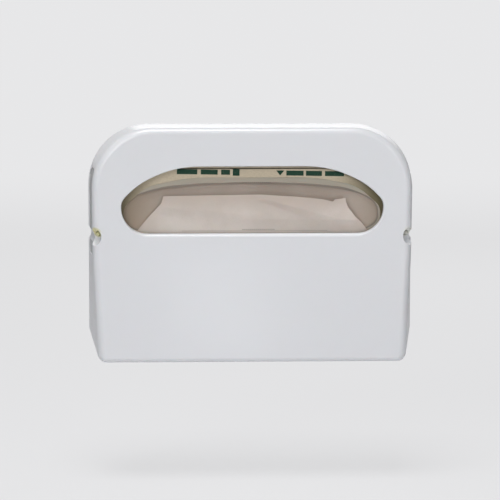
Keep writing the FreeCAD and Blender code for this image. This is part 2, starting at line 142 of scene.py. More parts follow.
def join_all(piece: Piece, parts: Sequence[Piece]) -> None:
    """Joins finished parts into a piece, which keeps its name.

    Args:
        piece: The piece that takes them up.
        parts: The parts.
    """
    select_only(piece)
    for part in parts:
        part.select_set(True)
    bpy.ops.object.join()


def settle(piece: Piece) -> None:
    """Moves a piece's place, turn and scale into its mesh."""
    select_only(piece)
    bpy.ops.object.transform_apply(location=True, rotation=True, scale=True)


def smooth(piece: Piece, angle: float = ROUND_ANGLE) -> None:
    """Shades a piece smooth, apart from edges sharper than an angle in degrees."""
    select_only(piece)
    bpy.ops.object.shade_smooth_by_angle(angle=math.radians(angle))


def dress(piece: Piece, material: bpy.types.Material) -> None:
    """Gives the whole piece one material."""
    piece.data.materials.clear()
    piece.data.materials.append(material)


def weigh_sharp_edges(piece: Piece, share: Callable[[Vector], float]) -> None:
    """Gives each sharp edge a bevel weight, the smaller of the shares at its ends.

    Args:
        piece: The piece, whose other edges get no weight.
        share: Gives the share of the bevel's width at a place.
    """
    edit_all(
        piece,
        lambda: bpy.ops.mesh.select_mode(type="EDGE"),
        lambda: bpy.ops.mesh.select_all(action="DESELECT"),
        lambda: bpy.ops.mesh.edges_select_sharp(sharpness=math.radians(SHARP_ANGLE)),
    )
    mesh = piece.data
    weights = mesh.attributes.new("bevel_weight_edge", "FLOAT", "EDGE")
    for edge, weight in zip(mesh.edges, weights.data):
        if edge.select:
            weight.value = min(share(mesh.vertices[end].co) for end in edge.vertices)


def refined_copy(node: str, name: str, edge: float, segments: int = 2,
                 share: Callable[[Vector], float] = lambda place: 1.0) -> Piece:
    """Copies a frame node as one closed mesh with softened edges.

    Args:
        node: The frame node.
        name: The new piece's name.
        edge: Width of the softened edges, in metres.
        segments: Faces across each softened edge.
        share: Gives the share of that width that an edge at a place gets.

    Returns:
        The new piece, which still has to ride on a body.
    """
    source = bpy.data.objects[node]
    piece = bpy.data.objects.new(name, source.data.copy())
    bpy.context.scene.collection.objects.link(piece)
    edit_all(
        piece,
        lambda: bpy.ops.mesh.remove_doubles(threshold=MERGE_GAP),
        lambda: bpy.ops.mesh.dissolve_limited(angle_limit=math.radians(FLAT_ANGLE)),
    )
    weigh_sharp_edges(piece, share)
    apply_modifier(
        piece, "BEVEL", width=edge, segments=segments, limit_method="WEIGHT",
        use_clamp_overlap=False, loop_slide=True,
    )
    smooth(piece, SHARP_ANGLE)
    apply_modifier(piece, "WEIGHTED_NORMAL", weight=NORMAL_WEIGHT, keep_sharp=True)
    return piece


def share_between(value: float, low: float, high: float) -> float:
    """How far a value lies on its way from low (0) to high (1), held between them."""
    return min(max((value - low) / (high - low), 0.0), 1.0)


def eased(value: float, low: float, high: float) -> float:
    """The same share, with a soft start and a soft end."""
    share = share_between(value, low, high)
    return share * share * (3.0 - 2.0 * share)


# Helpers for materials


class NodeTree:
    """A material's or a node group's tree, with short ways to add and join nodes."""

    def __init__(self, tree: bpy.types.NodeTree) -> None:
        """Wraps a tree and empties it."""
        self.tree = tree
        tree.nodes.clear()

    def feed(self, socket: Socket, value: object) -> None:
        """Gives an input its value.

        Args:
            socket: The input.
            value: A plain value, or the output socket to link to it.
        """
        if isinstance(value, Socket):
            self.tree.links.new(value, socket)
        else:
            socket.default_value = value

    def add(self, kind: str, inputs: dict[object, object] | None = None,
            **settings: object) -> bpy.types.Node:
        """Adds a node.

        Args:
            kind: The node's type.
            inputs: Values or output sockets for its inputs, by name or number.
            **settings: The node's own properties.

        Returns:
            The node.
        """
        node = self.tree.nodes.new(kind)
        for name, value in settings.items():
            setattr(node, name, value)
        for key, value in (inputs or {}).items():
            self.feed(node.inputs[key], value)
        return node

    def group(self, group: bpy.types.NodeTree, **inputs: object) -> Socket:
        """Places a shared group, with spaces in input names written as underscores.

        Args:
            group: The node group.
            **inputs: Values or output sockets for its inputs.

        Returns:
            The group's first output.
        """
        node = self.tree.nodes.new("ShaderNodeGroup")
        node.node_tree = group
        for key, value in inputs.items():
            self.feed(node.inputs[key.replace("_", " ")], value)
        return node.outputs[0]

    def place(self) -> Socket:
        """The place on the piece, in its Object coordinates."""
        return self.add("ShaderNodeTexCoord").outputs["Object"]

    def split(self, vector: object) -> bpy.types.NodeOutputs:
        """Splits a vector, and returns the outputs X, Y and Z."""
        return self.add("ShaderNodeSeparateXYZ", {0: vector}).outputs

    def math(self, operation: str, a: object, b: object = 0.0) -> Socket:
        """Joins two values by a Math node and returns its result."""
        return self.add("ShaderNodeMath", {0: a, 1: b}, operation=operation).outputs[0]

    def product(self, first: object, *others: object) -> Socket:
        """Multiplies two or more values.

        Args:
            first: The first value.
            *others: The values that it is multiplied by, in order.

        Returns:
            The product.
        """
        for other in others:
            first = self.math("MULTIPLY", first, other)
        return first

    def distance(self, value: object, middle: object) -> Socket:
        """How far a value is from a middle, on either side."""
        return self.math("ABSOLUTE", self.math("SUBTRACT", value, middle))

    def mix(self, factor: object, first: object, second: object) -> Socket:
        """Mixes two colours and returns the result."""
        node = self.add("ShaderNodeMix", {0: factor, 6: first, 7: second}, data_type="RGBA")
        return node.outputs[2]

    def ramp(self, value: object, low: object = 0.0, high: object = 1.0, bottom: object = 0.0,
             top: object = 1.0, soft: bool = False) -> Socket:
        """Maps a value from one span to another and holds it there.

        Args:
            value: The value.
            low: Where the result starts from its bottom.
            high: Where the result reaches its top.
            bottom: The result at low.
            top: The result at high.
            soft: Whether the result starts and ends gently.

        Returns:
            The result.
        """
        return self.add(
            "ShaderNodeMapRange",
            {"Value": value, "From Min": low, "From Max": high, "To Min": bottom, "To Max": top},
            interpolation_type="SMOOTHSTEP" if soft else "LINEAR").outputs[0]

    def surface(self, shader: bpy.types.Node, colour: object, height: object, strength: float,
                distance: float) -> None:
        """Gives a shader its colour and its fine relief.

        Args:
            shader: The shader.
            colour: What feeds its base colour.
            height: What feeds the relief.
            strength: How strongly the relief shows.
            distance: The relief's height where its value is 1, in metres.
        """
        self.feed(shader.inputs["Base Color"], colour)
        bump = self.add("ShaderNodeBump", {"Height": height, "Strength": strength, "Distance": distance})
        self.feed(shader.inputs["Normal"], bump.outputs[0])


def make_group(name: str, inputs: dict[str, object], output: str,
               build: Callable[[NodeTree, bpy.types.NodeOutputs], Socket]) -> bpy.types.NodeTree:
    """Makes a shader node group with one output.

    Args:
        name: The group's name.
        inputs: Its input names with default values; a vector has None.
        output: Its output's name.
        build: Adds the nodes, from the tree and the group's inputs, and returns the
            socket that feeds the output.

    Returns:
        The group.
    """
    tree = bpy.data.node_groups.new(name, "ShaderNodeTree")
    for key, value in inputs.items():
        kind = "NodeSocketVector" if value is None else "NodeSocketFloat"
        socket = tree.interface.new_socket(name=key, in_out="INPUT", socket_type=kind)
        if value is not None:
            socket.default_value = value
    tree.interface.new_socket(name=output, in_out="OUTPUT", socket_type="NodeSocketFloat")
    nodes = NodeTree(tree)
    entry = nodes.add("NodeGroupInput").outputs
    nodes.add("NodeGroupOutput", {0: build(nodes, entry)})
    return tree


class SharedEffects:
    """The node groups that more than one finish uses."""

    DASH_SHARE = 0.5

    def __init__(self) -> None:
        """Builds each group once."""
        self.patches = make_group(
            "patches", {"Vector": None, "Scale": 10.0, "Detail": 4.0, "Low": 0.4, "High": 0.6},
            "Mask", self._patches)
        self.grain = make_group(
            "grain", {"Vector": None, "Fine Scale": 900.0, "Coarse Scale": 120.0, "Coarse Share": 0.4},
            "Height", self._grain)
        self.bar = make_group(
            "bar", {"Vector": None, "Centre X": 0.0, "Centre Z": 0.0, "Half Width": 0.01,
                    "Half Height": 0.002}, "Mask", self._bar)
        self.towards_ends = make_group(
            "towards_ends", {"Vector": None, "Middle": 0.0, "Start": 0.1, "End": 0.15}, "Mask",
            self._towards_ends)
        self.dashes = make_group(
            "dashes", {"Vector": None, "Pitch": 0.002, "Height": 0.0, "Half Height": 0.0003,
                       "From": -0.01, "To": 0.02}, "Mask", self._dashes)
        self.spot = make_group(
            "spot", {"Vector": None, "Centre X": 0.19, "Centre Y": 0.0, "Centre Z": 0.0,
                     "Inner": 0.003, "Outer": 0.007}, "Mask", self._spot)
        self.settled_dust = make_group(
            "settled_dust", {"Vector": None, "Normal": None, "Scale": 60.0, "Amount": 0.3},
            "Mask", self._settled_dust)

    @staticmethod
    def _patches(nodes: NodeTree, entry: bpy.types.NodeOutputs) -> Socket:
        """Soft patches of noise, cut between a low and a high level.

        Args:
            nodes: The group's tree.
            entry: The group's inputs.

        Returns:
            The mask.
        """
        cloud = nodes.add("ShaderNodeTexNoise", {
            "Vector": entry["Vector"], "Scale": entry["Scale"], "Detail": entry["Detail"],
            "Roughness": 0.55})
        return nodes.ramp(cloud.outputs["Fac"], entry["Low"], entry["High"], soft=True)

    @staticmethod
    def _grain(nodes: NodeTree, entry: bpy.types.NodeOutputs) -> Socket:
        """A fine noise and a coarse one, added by a share.

        Args:
            nodes: The group's tree.
            entry: The group's inputs.

        Returns:
            The height.
        """
        fine = nodes.add("ShaderNodeTexNoise", {
            "Vector": entry["Vector"], "Scale": entry["Fine Scale"], "Detail": 3.0, "Roughness": 0.6})
        coarse = nodes.add("ShaderNodeTexNoise", {
            "Vector": entry["Vector"], "Scale": entry["Coarse Scale"], "Detail": 2.0,
            "Roughness": 0.5})
        part = nodes.product(coarse.outputs["Fac"], entry["Coarse Share"])
        return nodes.math("ADD", fine.outputs["Fac"], part)

    @staticmethod
    def _bar(nodes: NodeTree, entry: bpy.types.NodeOutputs) -> Socket:
        """A rectangle in X and Z.

        Args:
            nodes: The group's tree.
            entry: The group's inputs.

        Returns:
            The mask, 1 inside and 0 outside.
        """
        split = nodes.split(entry["Vector"])
        inside = []
        for axis, centre, half in (("X", "Centre X", "Half Width"), ("Z", "Centre Z", "Half Height")):
            inside.append(nodes.math("LESS_THAN", nodes.distance(split[axis], entry[centre]), entry[half]))
        return nodes.product(*inside)

    @staticmethod
    def _towards_ends(nodes: NodeTree, entry: bpy.types.NodeOutputs) -> Socket:
        """Rises from 0 to 1 on both sides of the middle, between two distances.

        Args:
            nodes: The group's tree.
            entry: The group's inputs.

        Returns:
            The mask.
        """
        away = nodes.distance(nodes.split(entry["Vector"])["X"], entry["Middle"])
        return nodes.ramp(away, entry["Start"], entry["End"], soft=True)

    @staticmethod
    def _dashes(nodes: NodeTree, entry: bpy.types.NodeOutputs) -> Socket:
        """A level row of short dashes between two places across.

        Args:
            nodes: The group's tree.
            entry: The group's inputs.

        Returns:
            The mask.
        """
        split = nodes.split(entry["Vector"])
        along = nodes.math("DIVIDE", split["X"], entry["Pitch"])
        dash = nodes.math("LESS_THAN", nodes.math("FRACT", along), SharedEffects.DASH_SHARE)
        away = nodes.distance(split["Z"], entry["Height"])
        level = nodes.math("LESS_THAN", away, entry["Half Height"])
        after = nodes.math("GREATER_THAN", split["X"], entry["From"])
        before = nodes.math("LESS_THAN", split["X"], entry["To"])
        return nodes.product(dash, level, after, before)

    @staticmethod
    def _spot(nodes: NodeTree, entry: bpy.types.NodeOutputs) -> Socket:
        """A soft round spot at the same place on the left and on the right.

        Args:
            nodes: The group's tree.
            entry: The group's inputs.

        Returns:
            The mask.
        """
        split = nodes.split(entry["Vector"])
        outside = nodes.math("ABSOLUTE", split["X"])
        place = nodes.add("ShaderNodeCombineXYZ", {0: outside, 1: split["Y"], 2: split["Z"]})
        centre = nodes.add("ShaderNodeCombineXYZ", {
            0: entry["Centre X"], 1: entry["Centre Y"], 2: entry["Centre Z"]})
        away = nodes.add("ShaderNodeVectorMath", {0: place.outputs[0], 1: centre.outputs[0]},
                         operation="DISTANCE")
        return nodes.ramp(away.outputs["Value"], entry["Outer"], entry["Inner"], soft=True)

    @staticmethod
    def _settled_dust(nodes: NodeTree, entry: bpy.types.NodeOutputs) -> Socket:
        """Patchy dust where the surface faces up.

        Args:
            nodes: The group's tree.
            entry: The group's inputs.

        Returns:
            The mask.
        """
        facing = nodes.ramp(nodes.split(entry["Normal"])["Z"], low=0.6, high=1.0)
        cloud = nodes.add("ShaderNodeTexNoise", {
            "Vector": entry["Vector"], "Scale": entry["Scale"], "Detail": 6.0})
        return nodes.product(facing, cloud.outputs["Fac"], entry["Amount"])


def principled(name: str, roughness: float,
               **sockets: float) -> tuple[bpy.types.Material, NodeTree, bpy.types.Node]:
    """Makes a material with an empty tree apart from its shader and output.

    Args:
        name: The material's name.
        roughness: The shader's roughness.
        **sockets: Values for its other sockets, with underscores for spaces.

    Returns:
        The material, its tree and the shader.
    """
    material = bpy.data.materials.new(name)
    material.use_nodes = True
    nodes = NodeTree(material.node_tree)
    shader = nodes.add("ShaderNodeBsdfPrincipled", {"Roughness": roughness})
    for key, value in sockets.items():
        nodes.feed(shader.inputs[key.replace("_", " ")], value)
    nodes.add("ShaderNodeOutputMaterial", {0: shader.outputs[0]})
    return material, nodes, shader


# Finishes


@dataclass(frozen=True)
class Grip:
    """Where the fine-textured grip panels lie on both sides of a moulding; their darker colour
    is painted shade. The groove between their two parts is given by its middle and half its height."""

    from_middle: float
    depth: Span
    height: Span
    corner: float = 9.0 * MM
    groove: Span = (7.0 * MM, 6.9 * MM)


@dataclass(frozen=True)
class Spot:
    """A soft yellowish spot on both sides of a moulding."""

    place: Place
    inner: float
    outer: float
    left_share: float = 1.0
    right_share: float = 1.0


@dataclass(frozen=True)
class MouldedPlastic:
    """Glossy moulded plastic with a faint grain, soft flow marks and fine dust, and where set, grip panels
    in painted shade and a soft yellowish spot.
    """

    name: str
    colour: Colour
    flow_colour: Colour
    dust_colour: Colour = (0.50, 0.49, 0.46, 1.0)
    # The grip colour is painted shade: it darkens the side grip panels as if they lay in shadow.
    grip_shade_colour: Colour = (0.40, 0.405, 0.41, 1.0)
    spot_colour: Colour = (0.56, 0.53, 0.29, 1.0)
    roughness: float = 0.30
    worn_roughness: float = 0.36
    grip_roughness: float = 0.55
    grain_strength: float = 0.25
    grain_height: float = 0.008 * MM
    dust: float = 0.10
    grip: Grip | None = None
    spot: Spot | None = None

    def material(self, effects: SharedEffects) -> bpy.types.Material:
        """Builds the material.

        Args:
            effects: The shared node groups.

        Returns:
            The finished material.
        """
        material, nodes, shader = principled(
            self.name, self.roughness, Coat_Weight=0.15, Coat_Roughness=0.12, IOR=1.49,
            Subsurface_Weight=0.04, Subsurface_Scale=0.002)
        place = nodes.place()
        facing = nodes.add("ShaderNodeNewGeometry").outputs["Normal"]
        flow = nodes.group(effects.patches, Vector=place, Scale=2.2, Detail=1.0, Low=0.25, High=0.8)
        tinted = nodes.mix(flow, self.colour, self.flow_colour)
        dusty = nodes.group(effects.settled_dust, Vector=place, Normal=facing, Scale=900.0,
                            Amount=self.dust)
        coloured = nodes.mix(dusty, tinted, self.dust_colour)
        worn = nodes.group(effects.patches, Vector=place, Scale=5.0, Detail=2.0, Low=0.3, High=0.8)
        rough = nodes.ramp(worn, bottom=self.roughness, top=self.worn_roughness)
        # Grip panels: a rougher finish, and a darker colour that is painted shade.
        if self.grip:
            sunk = self._shaded_grip_mask(nodes, place)
            coloured = nodes.mix(sunk, coloured, self.grip_shade_colour)
            rough = nodes.math("ADD", rough, nodes.product(sunk, self.grip_roughness - self.roughness))
        if self.spot:
            coloured = nodes.mix(self._spot_mask(nodes, effects, place), coloured, self.spot_colour)
        nodes.feed(shader.inputs["Roughness"], rough)
        grain = nodes.group(effects.grain, Vector=place, Fine_Scale=700.0, Coarse_Scale=150.0,
                            Coarse_Share=0.8)
        nodes.surface(shader, coloured, grain, self.grain_strength, self.grain_height)
        return material

    def _spot_mask(self, nodes: NodeTree, effects: SharedEffects, place: Socket) -> Socket:
        """Masks the yellowish spots, each with its own share.

        Args:
            nodes: The material's tree.
            effects: The shared node groups.
            place: The place on the piece.

        Returns:
            The mask.
        """
        x, y, z = self.spot.place
        yellowish = nodes.group(effects.spot, Vector=place, Centre_X=x, Centre_Y=y, Centre_Z=z,
                               Inner=self.spot.inner, Outer=self.spot.outer)
        share = nodes.ramp(nodes.split(place)["X"], -x, x, self.spot.left_share, self.spot.right_share)
        return nodes.product(yellowish, share)

    def _shaded_grip_mask(self, nodes: NodeTree, place: Socket) -> Socket:
        """Masks the sunk grip panels, which get a painted shade, with round corners and without the finger
        groove.

        Args:
            nodes: The material's tree.
            place: The place on the piece.

        Returns:
            The mask.
        """
        split = nodes.split(place)
        corner = self.grip.corner
        squares = []
        for axis, (low, high) in (("Y", self.grip.depth), ("Z", self.grip.height)):
            away = nodes.distance(split[axis], (low + high) / 2.0)
            past = nodes.math("MAXIMUM", nodes.math("SUBTRACT", away, (high - low) / 2.0 - corner), 0.0)
            squares.append(nodes.product(past, past))
        rounded = nodes.math("LESS_THAN", nodes.math("ADD", *squares), corner * corner)
        at_side = nodes.math("GREATER_THAN", nodes.math("ABSOLUTE", split["X"]), self.grip.from_middle)
        middle, half = self.grip.groove
        past_groove = nodes.math("GREATER_THAN", nodes.distance(split["Z"], middle), half)
        return nodes.product(at_side, rounded, past_groove)


@dataclass(frozen=True)
class PrintedCard:
    """Plain card with fibres and a printed row above the opening, with painted shade towards its ends.

    The row's bars and square are given by their centre across and half their width, and
    the triangle by its centre, half its width and its height.
    """

    name: str
    colour: Colour
    fibre_colour: Colour
    ink: Colour
    row_height: float
    row_tilt: float
    letter_half: float
    bars: tuple[Span, ...]
    square: Span
    triangle: Place
    front: float
    # Painted shade: the card darkens towards its ends, as in the cover's shadow.
    painted_shade_colour: Colour = (0.15, 0.127, 0.07, 1.0)
    ends: Span = (100.0 * MM, 168.0 * MM)
    ends_middle: float = -9.0 * MM
    roughness: float = 0.82
    grain_strength: float = 0.5
    grain_height: float = 0.05 * MM

    def material(self, effects: SharedEffects) -> bpy.types.Material:
        """Builds the material.

        Args:
            effects: The shared node groups.

        Returns:
            The finished material.
        """
        material, nodes, shader = principled(self.name, self.roughness, IOR=1.4)
        place = nodes.place()
        stretched = nodes.add("ShaderNodeMapping", {"Vector": place, "Scale": (260.0, 900.0, 900.0)})
        fibres = nodes.add("ShaderNodeTexNoise", {
            "Vector": stretched.outputs[0], "Scale": 1.0, "Detail": 5.0, "Roughness": 0.65})
        streaks = nodes.ramp(fibres.outputs["Fac"], low=0.42, high=0.68)
        board = nodes.mix(streaks, self.colour, self.fibre_colour)
        # Painted shade towards the card's ends.
        end_shade = nodes.group(effects.towards_ends, Vector=place, Middle=self.ends_middle,
                              Start=self.ends[0], End=self.ends[1])
        board = nodes.mix(end_shade, board, self.painted_shade_colour)
        inked = nodes.mix(self._print(nodes, effects, place), board, self.ink)
        grain = nodes.group(effects.grain, Vector=place, Fine_Scale=2200.0, Coarse_Scale=300.0,
                            Coarse_Share=1.0)
        nodes.surface(shader, inked, grain, self.grain_strength, self.grain_height)
        return material

    def _print(self, nodes: NodeTree, effects: SharedEffects, place: Socket) -> Socket:
        """Masks the bars, the square and the triangle on the front face only.

        Args:
            nodes: The material's tree.
            effects: The shared node groups.
            place: The place on the piece.

        Returns:
            The mask.
        """
        row = nodes.add("ShaderNodeMapping", {
            "Vector": place, "Location": (0.0, 0.0, self.row_height),
            "Rotation": (0.0, self.row_tilt, 0.0)}, vector_type="TEXTURE").outputs[0]
        centre, square_half = self.square
        blocks = [(centre, square_half, square_half)]
        blocks += [(centre, half, self.letter_half) for centre, half in self.bars]
        inked = self._triangle(nodes, row)
        for centre, half, half_height in blocks:
            block = nodes.group(effects.bar, Vector=row, Centre_X=centre, Centre_Z=0.0,
                                Half_Width=half, Half_Height=half_height)
            inked = nodes.math("MAXIMUM", inked, block)
        on_front = nodes.math("LESS_THAN", nodes.split(place)["Y"], self.front)
        worn = nodes.group(effects.patches, Vector=place, Scale=1500.0, Detail=2.0, Low=0.1, High=0.35)
        return nodes.product(inked, on_front, worn)

    def _triangle(self, nodes: NodeTree, row: Socket) -> Socket:
        """Masks a triangle that points down.

        Args:
            nodes: The material's tree.
            row: The place in the printed row.

        Returns:
            The mask.
        """
        centre, half, tall = self.triangle
        split = nodes.split(row)
        across = nodes.distance(split["X"], centre)
        up = nodes.math("ADD", split["Z"], tall / 2.0)
        inside = nodes.math("LESS_THAN", across, nodes.product(up, half / tall))
        return nodes.product(inside, nodes.math("LESS_THAN", up, tall))


@dataclass(frozen=True)
class Tissue:
    """Thin soft paper with fibres, a crepe and faint marks, with painted shade towards its ends.

    The sheet behind the tongue is told from it by its depth, and is painted darker as shade
    with a painted shadow line at the rim of its cut. Each perforation is given by its two
    ends across and its height, the crease by its centre, half its length and half its height,
    and the painted shade at the tongue's top by where it starts, where it is full and its share.
    """

    name: str
    colour: Colour
    shade_colour: Colour
    # Painted shade: the colour that the ends and the tongue's top are darkened to.
    painted_shade_colour: Colour
    ends: Span = (108.0 * MM, 172.0 * MM)
    ends_middle: float = 14.0 * MM
    cloud_share: float = 0.7
    fibre_share: float = 0.3
    layered: bool = False
    layer_pitch: float = 0.9 * MM
    layer_share: float = 0.45
    layer_depth: float = 4.0
    edge_on: float = 0.5
    # Painted shade on the flat sheet, and a painted shadow line at the rim of its cut.
    flat_shade_colour: Colour | None = None
    flat_from: float = -70.62 * MM
    rim_to: float = -70.14 * MM
    rim_shade_colour: Colour = (0.27, 0.235, 0.20, 1.0)
    perforations: tuple[Place, ...] = ()
    perforation_pitch: float = 2.4 * MM
    perforation_half: float = 0.6 * MM
    perforation_share: float = 0.7
    mark_colour: Colour = (0.14, 0.12, 0.10, 1.0)
    crease: tuple[float, float, float, float] | None = None
    crease_share: float = 0.3
    top_shade: Place | None = None
    tongue_from: float = -72.0 * MM
    roughness: float = 0.92
    crepe_strength: float = 0.55
    crepe_height: float = 0.06 * MM

    def material(self, effects: SharedEffects) -> bpy.types.Material:
        """Builds the material.

        Args:
            effects: The shared node groups.

        Returns:
            The finished material.
        """
        material, nodes, shader = principled(
            self.name, self.roughness, IOR=1.35, Sheen_Weight=0.12, Sheen_Roughness=0.6,
            Subsurface_Weight=0.15, Subsurface_Scale=0.003)
        place = nodes.place()
        colour = self._mottled(nodes, effects, place)
        colour = self._shaded(nodes, place, colour)
        colour = self._marked(nodes, effects, place, colour)
        height = nodes.group(effects.grain, Vector=place, Fine_Scale=1700.0, Coarse_Scale=210.0,
                             Coarse_Share=1.5)
        if self.layered:
            lines = self._layers(nodes, place)
            colour = nodes.mix(nodes.product(lines, self.layer_share), colour, self.shade_colour)
            height = nodes.math("SUBTRACT", height, nodes.product(lines, self.layer_depth))
        nodes.surface(shader, colour, height, self.crepe_strength, self.crepe_height)
        return material

    def _mottled(self, nodes: NodeTree, effects: SharedEffects, place: Socket) -> Socket:
        """Clouds and fibres in the paper, and painted shade towards its ends.

        Args:
            nodes: The material's tree.
            effects: The shared node groups.
            place: The place on the piece.

        Returns:
            The colour.
        """
        clouds = nodes.group(effects.patches, Vector=place, Scale=17.0, Detail=4.0, Low=0.35, High=0.68)
        fibres = nodes.group(effects.patches, Vector=place, Scale=700.0, Detail=4.0, Low=0.5, High=0.75)
        soft = nodes.product(clouds, self.cloud_share)
        fine = nodes.product(fibres, self.fibre_share)
        mottled = nodes.mix(nodes.math("ADD", soft, fine), self.colour, self.shade_colour)
        # Painted shade towards the paper's ends.
        end_shade = nodes.group(effects.towards_ends, Vector=place, Middle=self.ends_middle,
                              Start=self.ends[0], End=self.ends[1])
        return nodes.mix(end_shade, mottled, self.painted_shade_colour)

    def _shaded(self, nodes: NodeTree, place: Socket, colour: Socket) -> Socket:
        """Paints shade on the tongue's top and on the sheet behind it, and a painted shadow line along the
        rim of the die cut.

        Args:
            nodes: The material's tree.
            place: The place on the piece.
            colour: The paper's colour so far.

        Returns:
            The colour.
        """
        split = nodes.split(place)
        depth = split["Y"]
        # Painted shade at the tongue's top.
        if self.top_shade:
            low, high, share = self.top_shade
            above = nodes.ramp(split["Z"], low, high, top=share, soft=True)
            on_tongue = nodes.math("LESS_THAN", depth, self.tongue_from)
            colour = nodes.mix(nodes.product(above, on_tongue), colour, self.painted_shade_colour)
        # Painted shade on the flat sheet behind the tongue.
        if self.flat_shade_colour:
            flat = nodes.math("GREATER_THAN", depth, self.flat_from)
            colour = nodes.mix(flat, colour, self.flat_shade_colour)
            # A painted shadow line along the rim of the die cut.
            rim = nodes.product(flat, nodes.math("LESS_THAN", depth, self.rim_to))
            colour = nodes.mix(rim, colour, self.rim_shade_colour)
        return colour

    def _marked(self, nodes: NodeTree, effects: SharedEffects, place: Socket,
                colour: Socket) -> Socket:
        """Adds the perforations and the crease.

        Args:
            nodes: The material's tree.
            effects: The shared node groups.
            place: The place on the piece.
            colour: The paper's colour so far.

        Returns:
            The colour.
        """
        for start, end, height in self.perforations:
            dashes = nodes.group(effects.dashes, Vector=place, Pitch=self.perforation_pitch,
                                 Height=height, Half_Height=self.perforation_half, From=start, To=end)
            share = nodes.product(dashes, self.perforation_share)
            colour = nodes.mix(share, colour, self.mark_colour)
        if self.crease:
            x, z, half, half_height = self.crease
            line = nodes.group(effects.bar, Vector=place, Centre_X=x, Centre_Z=z, Half_Width=half,
                               Half_Height=half_height)
            colour = nodes.mix(nodes.product(line, self.crease_share), colour, self.mark_colour)
        return colour

    def _layers(self, nodes: NodeTree, place: Socket) -> Socket:
        """Dark lines between folded sheets, where the stack is seen edge on.

        Args:
            nodes: The material's tree.
            place: The place on the piece.

        Returns:
            The mask.
        """
        bands = nodes.add("ShaderNodeTexWave", {
            "Vector": place, "Scale": math.tau / (WAVE_FACTOR * self.layer_pitch), "Distortion": 1.6,
            "Detail": 2.0, "Detail Scale": 0.6}, bands_direction="Y")
        dark = nodes.ramp(bands.outputs["Fac"], low=0.45, high=0.1)
        normal = nodes.add("ShaderNodeNewGeometry").outputs["Normal"]
        facing = nodes.math("ABSOLUTE", nodes.split(normal)["Y"])
        return nodes.product(dark, nodes.math("LESS_THAN", facing, self.edge_on))


# Pieces of the dispenser


@dataclass
class Mouldings:
    """The rear housing and the front cover."""

    edge: float = 0.35 * MM
    window_edge: float = 1.0 * MM
    window_segments: int = 3
    window_half: float = 175.0 * MM
    window_low: float = 8.0 * MM
    front: float = -82.9 * MM
    peg_place: Place = (190.09 * MM, -73.3 * MM, 10.7 * MM)
    peg_radius: float = 3.05 * MM
    peg_sides: int = 48
    peg_root: float = -67.0 * MM
    peg_reach: float = 6.0 * MM
    arm_tip: float = -68.4 * MM
    housing_finish: MouldedPlastic = MouldedPlastic(
        "housing_plastic", (0.64, 0.648, 0.665, 1.0), (0.62, 0.63, 0.65, 1.0), roughness=0.33,
        spot=Spot((190.09 * MM, -75.0 * MM, 10.65 * MM), 5.5 * MM, 8.5 * MM, 1.0, 0.3))
    cover_finish: MouldedPlastic = MouldedPlastic(
        "cover_plastic", (0.66, 0.668, 0.69, 1.0), (0.645, 0.654, 0.68, 1.0),
        # Its side grip panels are darkened with painted shade.
        grip=Grip(188.0 * MM, (-71.0 * MM, -23.4 * MM), (-16.0 * MM, 90.0 * MM)),
        spot=Spot((191.0 * MM, -76.5 * MM, 13.6 * MM), 6.0 * MM, 8.6 * MM, 1.0, 0.25))

    def build(self, effects: SharedEffects) -> list[Piece]:
        """Builds and dresses both mouldings.

        Args:
            effects: The shared node groups.

        Returns:
            The two pieces.
        """
        housing = refined_copy("rear_housing", "rear_housing_moulding", self.edge,
                               share=self._housing_share)
        join_all(housing, [part for side in (-1.0, 1.0) for part in self._peg(side)])
        dress(housing, self.housing_finish.material(effects))
        cover = refined_copy("front_cover", "front_cover_moulding", self.window_edge,
                             self.window_segments, self._cover_share)
        dress(cover, self.cover_finish.material(effects))
        for piece, node, body in ((housing, "rear_housing", Body.HOUSING),
                                  (cover, "front_cover", Body.COVER)):
            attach(piece, body.value)
            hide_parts(node)
        return [housing, cover]

    def _housing_share(self, place: Vector) -> float:
        """Edges of the housing are softened, apart from those of the latch pegs.

        Args:
            place: An end of an edge.

        Returns:
            The share of the softened edge's width.
        """
        x, _, z = self.peg_place
        near = math.hypot(abs(place.x) - x, place.z - z) < self.peg_reach
        return 0.0 if near and place.y < self.arm_tip else 1.0

    def _cover_share(self, place: Vector) -> float:
        """The window's front edge is rounder than the cover's other edges."""
        at_window = abs(place.x) < self.window_half and place.z > self.window_low
        return 1.0 if at_window and place.y < self.front else self.edge / self.window_edge

    def _peg(self, side: float) -> list[Piece]:
        """Makes a latch peg with a round end.

        Args:
            side: The left side (-1) or the right one (1).

        Returns:
            The peg's end and its shank.
        """
        x, y, z = self.peg_place
        bpy.ops.mesh.primitive_uv_sphere_add(
            segments=self.peg_sides, ring_count=self.peg_sides // 2, radius=self.peg_radius,
            location=(side * x, y, z))
        end = bpy.context.active_object
        bpy.ops.mesh.primitive_cylinder_add(
            vertices=self.peg_sides, radius=self.peg_radius, depth=self.peg_root - y,
            location=(side * x, (y + self.peg_root) / 2.0, z), rotation=(math.pi / 2.0, 0.0, 0.0))
        shank = bpy.context.active_object
        for part in (end, shank):
            settle(part)
            smooth(part)
        return [end, shank]


